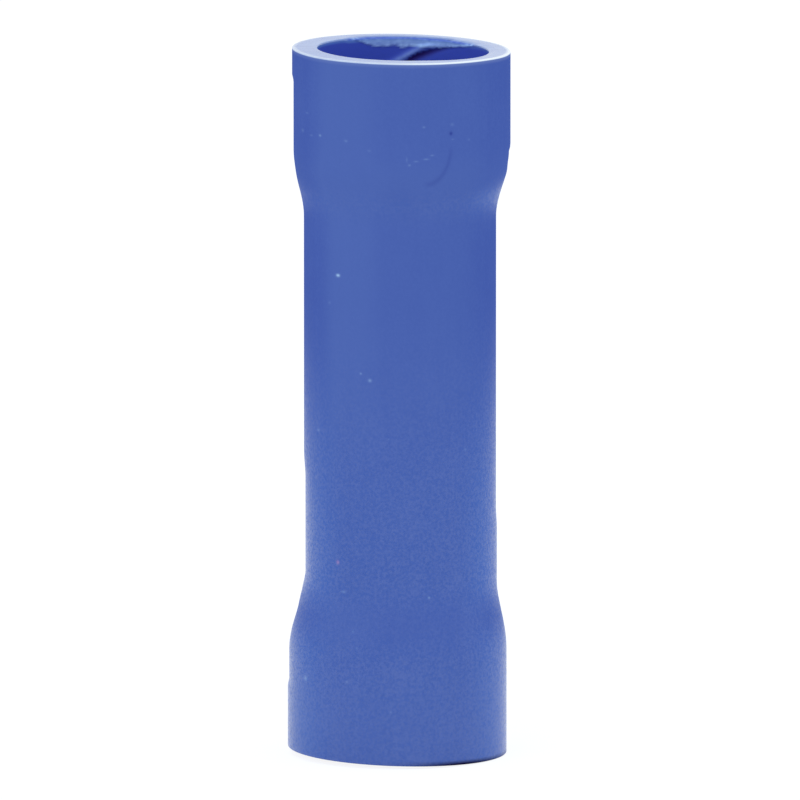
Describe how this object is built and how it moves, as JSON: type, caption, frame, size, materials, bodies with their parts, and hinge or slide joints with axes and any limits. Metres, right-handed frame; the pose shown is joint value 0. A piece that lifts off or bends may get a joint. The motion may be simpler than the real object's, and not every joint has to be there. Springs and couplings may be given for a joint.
{
  "type": "butt splice connector",
  "caption": "Insulated butt splice: a blue vinyl sleeve with belled ends over a tinned copper barrel, which joins stripped wires end to end when it is crimped.",
  "frame": {"origin": "on the connector's axis, at the level of the lowest point of its lower rim", "axes": "+Z along the axis, up through the upper mouth; +X towards the side where both slanted ends are lowest"},
  "size_m": [0.0076, 0.0076, 0.0252],
  "materials": {
    "vinyl": "satin blue vinyl",
    "tinned_copper": "bright tin plate"
  },
  "bodies": {
    "root": {"insulation_sleeve": "vinyl", "crimp_barrel": "tinned_copper"}
  },
  "joints": []
}
